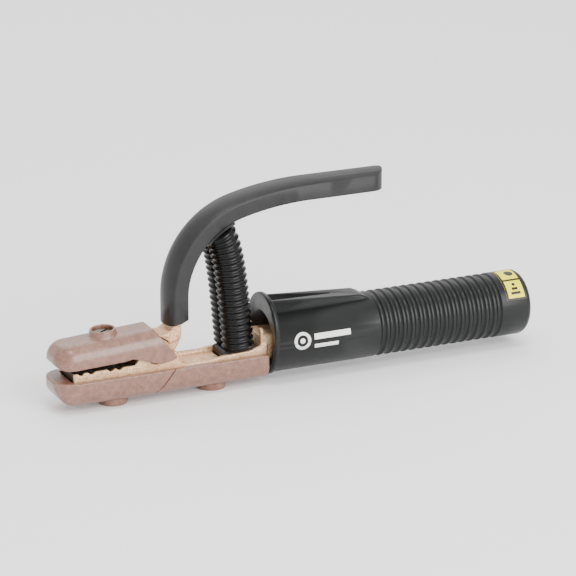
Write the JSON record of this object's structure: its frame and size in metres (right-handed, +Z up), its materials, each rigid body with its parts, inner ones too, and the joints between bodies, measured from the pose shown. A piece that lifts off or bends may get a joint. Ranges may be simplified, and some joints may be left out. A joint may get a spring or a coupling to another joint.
{
  "type": "welding electrode holder",
  "caption": "Sprung tong-type holder that clamps a welding electrode between insulated metal jaws, with a curved squeeze lever and a ribbed hollow handle for the cable.",
  "frame": {"origin": "middle of the bounding box in plan, on the plane of the lower screw bosses' ends", "axes": "+X from the jaws' nose towards the cable end of the handle, +Z up from the body towards the lever, +Y across"},
  "size_m": [0.246, 0.0332, 0.0976],
  "materials": {
    "cast_copper_alloy": "sand cast, satin",
    "moulded_insulator": "semi-gloss moulded thermoset",
    "handle_plastic": "satin moulded",
    "lever_plastic": "satin moulded",
    "boot_rubber": "semi-gloss",
    "spring_steel": "oiled wire",
    "zinc_steel": "zinc plated",
    "bush_bronze": "machined",
    "label_film": "printed film, blank symbols"
  },
  "bodies": {
    "body": {"body_casting": "cast_copper_alloy", "lower_tip_insulator": "moulded_insulator", "lower_body_insulator": "moulded_insulator", "lower_insulator_screws": "zinc_steel", "lower_insulator_washers": "zinc_steel", "pivot_pin": "zinc_steel", "pivot_circlips": "spring_steel", "lower_spring_seat": "lever_plastic", "spring_near": "spring_steel", "spring_far": "spring_steel", "spring_boot": "boot_rubber", "handle": "handle_plastic", "handle_screw": "zinc_steel", "rating_label": "label_film"},
    "lever": {"lever_casting": "cast_copper_alloy", "pivot_bush": "bush_bronze", "upper_tip_insulator": "moulded_insulator", "upper_insulator_screw": "zinc_steel", "upper_insulator_washer": "zinc_steel", "lever_cover": "lever_plastic", "lever_cover_screws": "zinc_steel", "upper_spring_seat": "lever_plastic"},
    "front_screw": {"cable_screw_front": "zinc_steel"},
    "rear_screw": {"cable_screw_rear": "zinc_steel"}
  },
  "joints": [
    {"name": "lever_hinge", "type": "hinge", "parent": "body", "child": "lever", "pos_m": [-0.073, 0, 0.0235], "axis": [0, 1, 0], "range_deg": [0, 18], "stiffness_Nm_per_rad": 3, "springref_deg": -34.38, "deforming": ["spring_near", "spring_far", "spring_boot"]},
    {"name": "front_screw_travel", "type": "slide", "parent": "body", "child": "front_screw", "axis": [0, 0, -1], "range_m": [0, 0.004]},
    {"name": "rear_screw_travel", "type": "slide", "parent": "body", "child": "rear_screw", "axis": [0, 0, -1], "range_m": [0, 0.004]}
  ]
}
